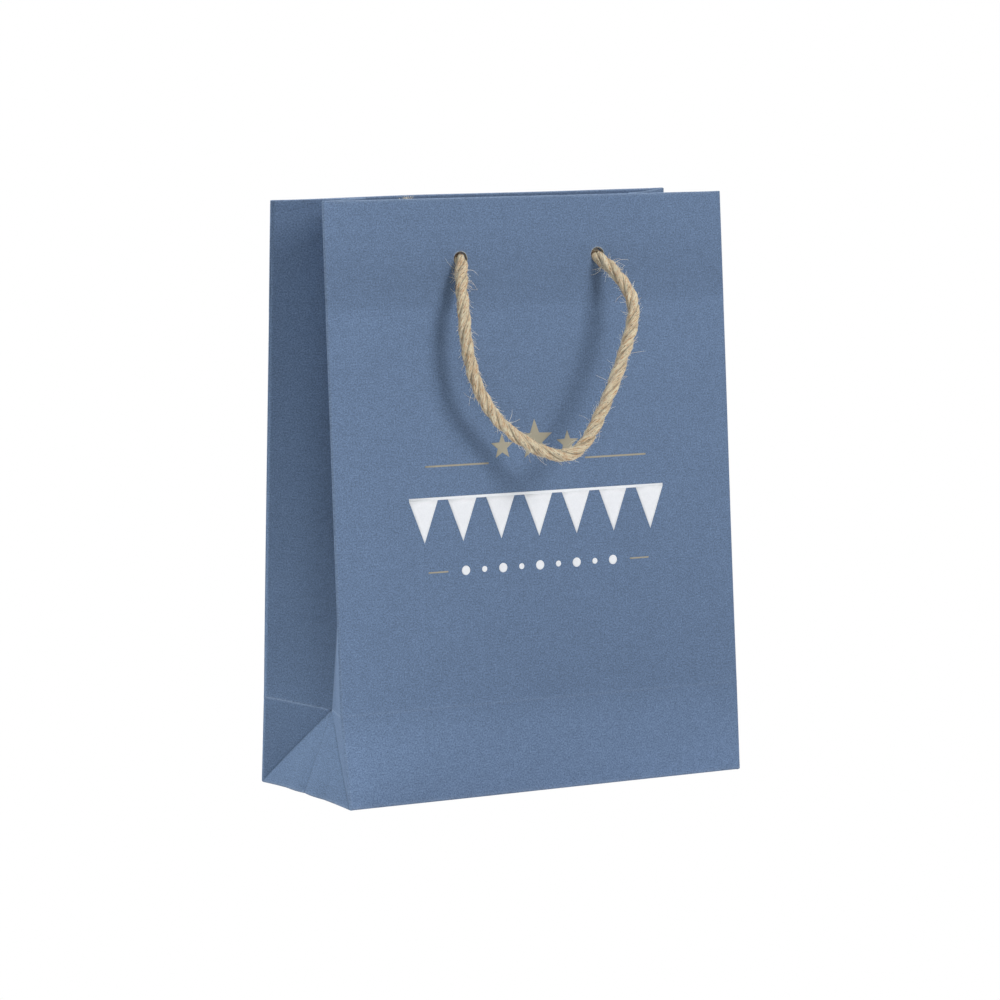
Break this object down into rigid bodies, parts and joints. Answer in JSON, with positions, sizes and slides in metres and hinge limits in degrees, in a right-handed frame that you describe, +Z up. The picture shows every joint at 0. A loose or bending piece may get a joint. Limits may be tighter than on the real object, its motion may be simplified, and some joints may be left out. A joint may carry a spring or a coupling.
{
  "type": "gift bag",
  "caption": "Paper gift bag standing open: block bottom, side gussets folded inward, turned-in mouth with reinforcement cards, and a knotted twisted rope handle on the front and the rear.",
  "frame": {"origin": "on the ground at the centre of the base", "axes": "+Z up to the mouth, -Y towards the front panel, +X to the right as seen from the front"},
  "size_m": [0.185, 0.1162, 0.2395],
  "materials": {
    "blue_paper": "matte",
    "card": "matte",
    "base_board": "matte",
    "jute": "matte",
    "white_ink": "matte",
    "gold_ink": "matte"
  },
  "bodies": {
    "base": {"base_flap_front": "blue_paper", "base_flap_rear": "blue_paper", "base_tuck_left": "blue_paper", "base_tuck_right": "blue_paper", "base_board": "base_board", "front_lower_strip": "blue_paper", "rear_lower_strip": "blue_paper", "left_bottom_triangle": "blue_paper", "left_lower_front_facet": "blue_paper", "left_lower_rear_facet": "blue_paper", "right_bottom_triangle": "blue_paper", "right_lower_front_facet": "blue_paper", "right_lower_rear_facet": "blue_paper", "left_gusset_front": "blue_paper", "left_gusset_rear": "blue_paper", "right_gusset_front": "blue_paper", "right_gusset_rear": "blue_paper", "left_turn_in_front": "blue_paper", "left_turn_in_rear": "blue_paper", "right_turn_in_front": "blue_paper", "right_turn_in_rear": "blue_paper"},
    "front_panel": {"front_panel": "blue_paper", "front_turn_in": "blue_paper", "front_card": "card", "front_neck_left": "jute", "front_neck_right": "jute", "front_knot_left": "jute", "front_knot_right": "jute"},
    "rear_panel": {"rear_panel": "blue_paper", "rear_turn_in": "blue_paper", "rear_card": "card", "side_seam_flap": "blue_paper", "rear_neck_left": "jute", "rear_neck_right": "jute", "rear_knot_left": "jute", "rear_knot_right": "jute"},
    "front_handle": {"front_rope": "jute"},
    "rear_handle": {"rear_rope": "jute"}
  },
  "joints": [
    {"name": "front_panel_lean", "type": "hinge", "parent": "base", "child": "front_panel", "pos_m": [0, -0.03358, 0.03686], "axis": [-1, 0, 0], "range_deg": [-3, 3.8], "deforming": ["left_gusset_front", "right_gusset_front", "left_turn_in_front", "right_turn_in_front"]},
    {"name": "rear_panel_lean", "type": "hinge", "parent": "base", "child": "rear_panel", "pos_m": [0, 0.03358, 0.03686], "axis": [1, 0, 0], "range_deg": [-3, 3.8], "deforming": ["left_gusset_rear", "right_gusset_rear", "left_turn_in_rear", "right_turn_in_rear"]},
    {"name": "front_handle_swing", "type": "hinge", "parent": "front_panel", "child": "front_handle", "pos_m": [0, -0.03016, 0.21547], "axis": [-1, 0, 0], "range_deg": [-8, 148]},
    {"name": "rear_handle_swing", "type": "hinge", "parent": "rear_panel", "child": "rear_handle", "pos_m": [0, 0.03016, 0.21547], "axis": [1, 0, 0], "range_deg": [-8, 148]}
  ]
}
